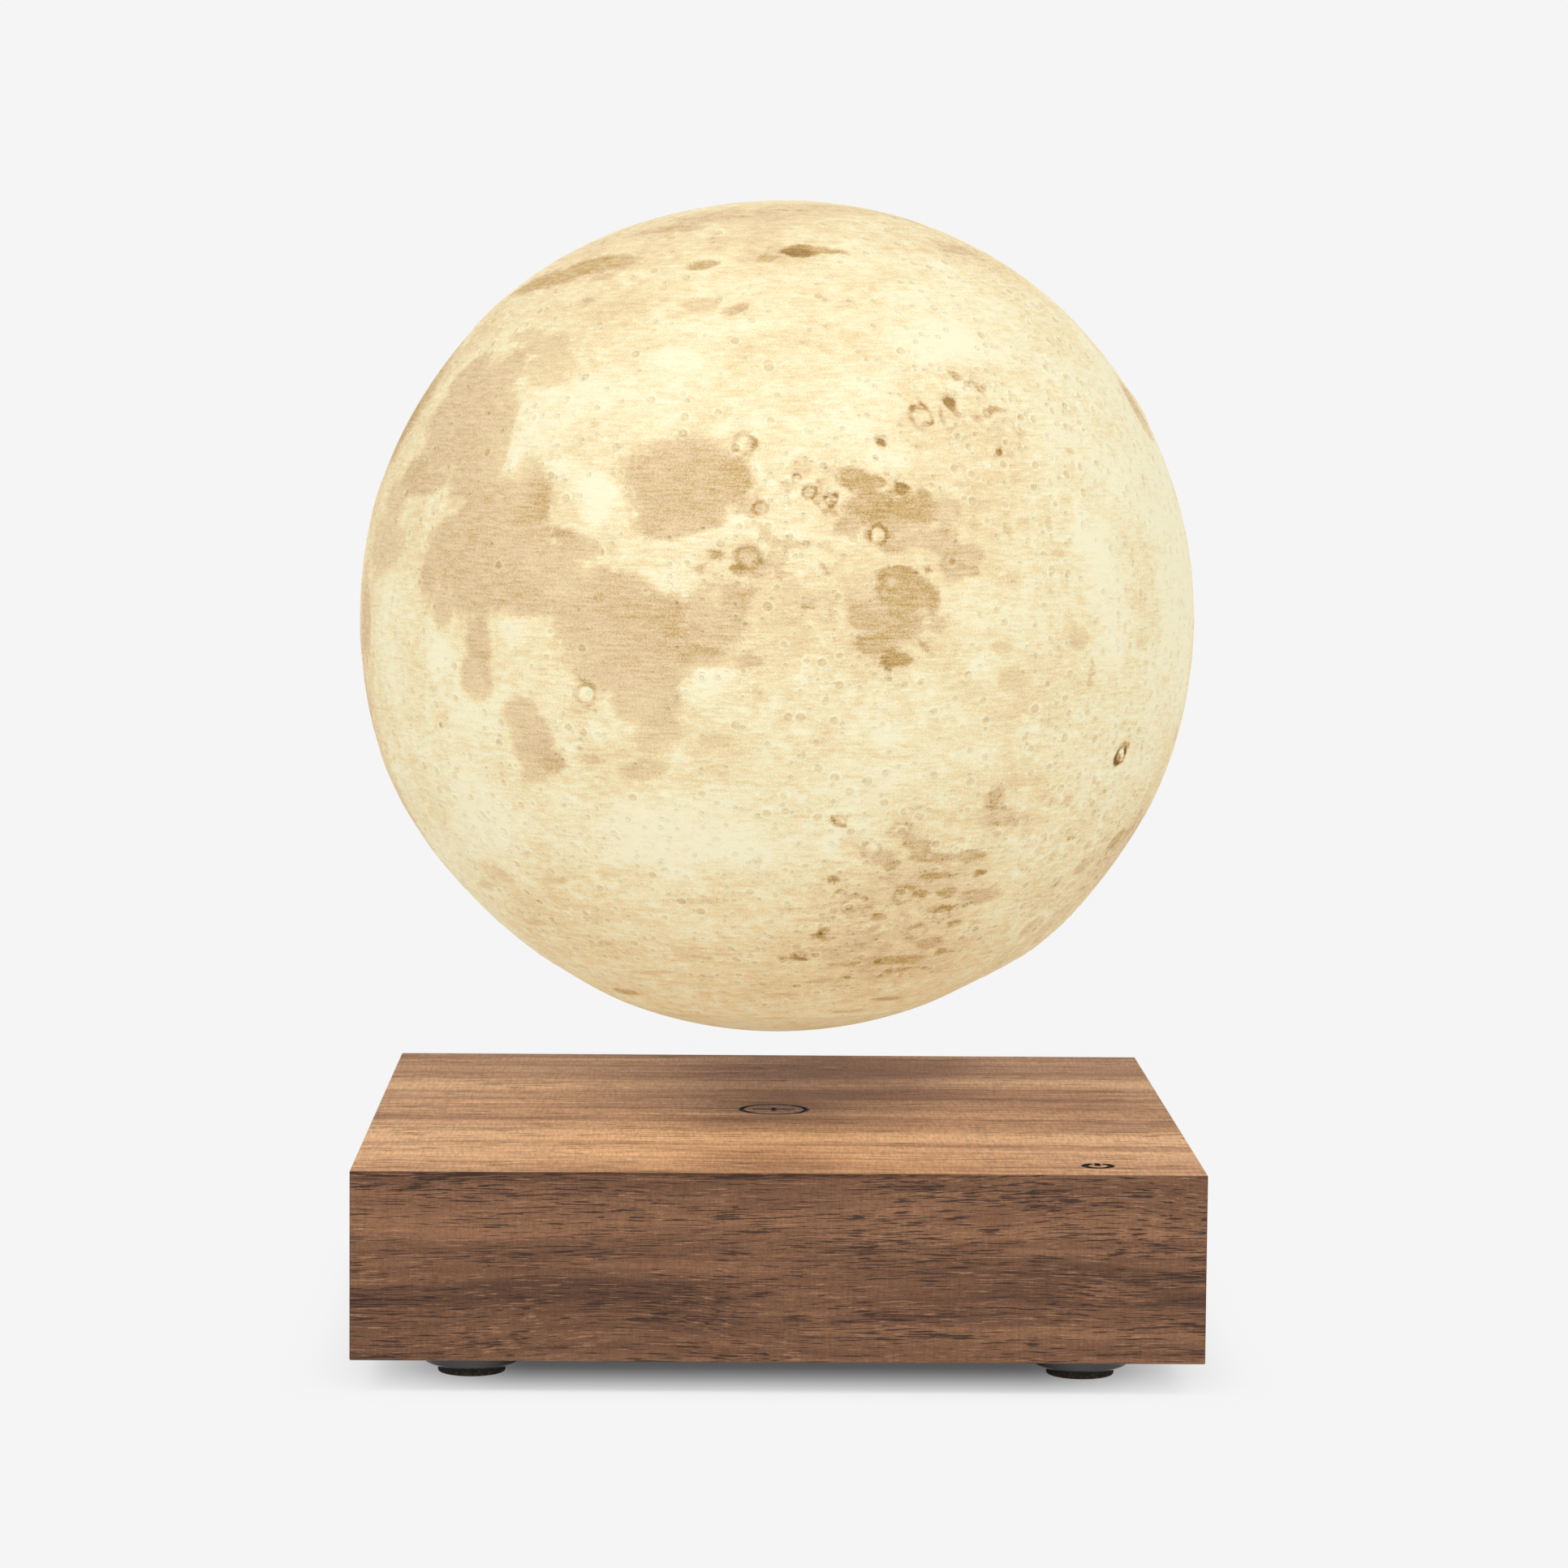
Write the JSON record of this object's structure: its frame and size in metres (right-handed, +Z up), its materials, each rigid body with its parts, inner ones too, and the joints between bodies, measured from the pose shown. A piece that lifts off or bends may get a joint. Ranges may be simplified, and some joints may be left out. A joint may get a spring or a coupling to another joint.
{
  "type": "levitating moon lamp",
  "caption": "Lit moon globe with crater relief that hovers and turns over a square walnut casing with a touch mark and a power inlet.",
  "frame": {"origin": "on the table under the centre of the casing and of the moon, at the feet's lower faces", "axes": "+Z up, along the axis on which the moon hovers and turns; -Y to the front, where the touch mark is; +Y to the back, where the power inlet is; +X to the right seen from the front"},
  "size_m": [0.177, 0.177, 0.2392],
  "materials": {
    "walnut_top": "fine satin oil, straight grain",
    "walnut_side": "fine satin oil, straight grain with dark pores",
    "glue_block_wood": "sawn",
    "cover_black": "fine matt",
    "collar_plastic": "gloss",
    "foot_pad": "grainy",
    "screw_steel": "zinc plated",
    "module_plastic": "moulded",
    "ferrite": "sintered, matt",
    "bobbin_nylon": "moulded",
    "copper": "enamelled copper wire",
    "soft_iron": "turned",
    "circuit_board": "solder mask",
    "chip_black": "moulded",
    "capacitor_can": "satin",
    "connector_white": "moulded",
    "inlet_plastic": "moulded",
    "inlet_nickel": "nickel plated",
    "lug_brass": "tinned brass",
    "lead_black": "soft insulation",
    "lead_red": "soft insulation",
    "moon_print": "printed layers, crater relief, lit from inside",
    "moon_cap_white": "moulded, lit from inside",
    "light_board": "white coated",
    "light_chip": "phosphor",
    "dome_opal": "opal"
  },
  "bodies": {
    "casing": {"top_board": "walnut_top", "front_board": "walnut_side", "right_board": "walnut_side", "back_board": "walnut_side", "left_board": "walnut_side", "corner_blocks": "glue_block_wood", "bottom_cover": "cover_black", "cover_screws": "screw_steel", "foot_collar_front_left": "collar_plastic", "foot_pad_front_left": "foot_pad", "foot_collar_front_right": "collar_plastic", "foot_pad_front_right": "foot_pad", "foot_collar_back_left": "collar_plastic", "foot_pad_back_left": "foot_pad", "foot_collar_back_right": "collar_plastic", "foot_pad_back_right": "foot_pad", "foot_screws": "screw_steel", "module_tray": "module_plastic", "module_lid": "module_plastic", "tray_screws": "screw_steel", "ring_magnet": "ferrite", "coil_bobbins": "bobbin_nylon", "coil_winding_1": "copper", "coil_winding_2": "copper", "coil_winding_3": "copper", "coil_winding_4": "copper", "coil_cores": "soft_iron", "sensor_post": "module_plastic", "sensor_board": "circuit_board", "position_sensors": "chip_black", "sender_coil": "copper", "main_board": "circuit_board", "board_screws": "screw_steel", "controller_chip": "chip_black", "driver_chips": "chip_black", "power_capacitors": "capacitor_can", "board_connectors": "connector_white", "inlet_body": "inlet_plastic", "inlet_pin": "inlet_nickel", "inlet_nut": "inlet_nickel", "inlet_lugs": "lug_brass", "inlet_lead_black": "lead_black", "inlet_lead_red": "lead_red", "touch_pad": "copper", "touch_board": "circuit_board", "touch_lead": "lead_black"},
    "magnet": {"lifting_magnet": "inlet_nickel"},
    "moon": {"moon_shell": "moon_print", "moon_cap": "moon_cap_white", "receiver_coil": "copper", "receiver_ferrite": "ferrite", "rectifier_board": "circuit_board", "led_spacers": "bobbin_nylon", "led_board": "light_board", "led_chips": "light_chip", "cap_screws": "screw_steel", "diffuser_dome": "dome_opal"}
  },
  "joints": [
    {"name": "moon_lift", "type": "slide", "parent": "casing", "child": "magnet", "axis": [0, 0, 1], "range_m": [0, 0.15]},
    {"name": "moon_spin", "type": "hinge", "parent": "magnet", "child": "moon", "pos_m": [0, 0, 0.1507], "axis": [0, 0, 1], "continuous": true}
  ]
}
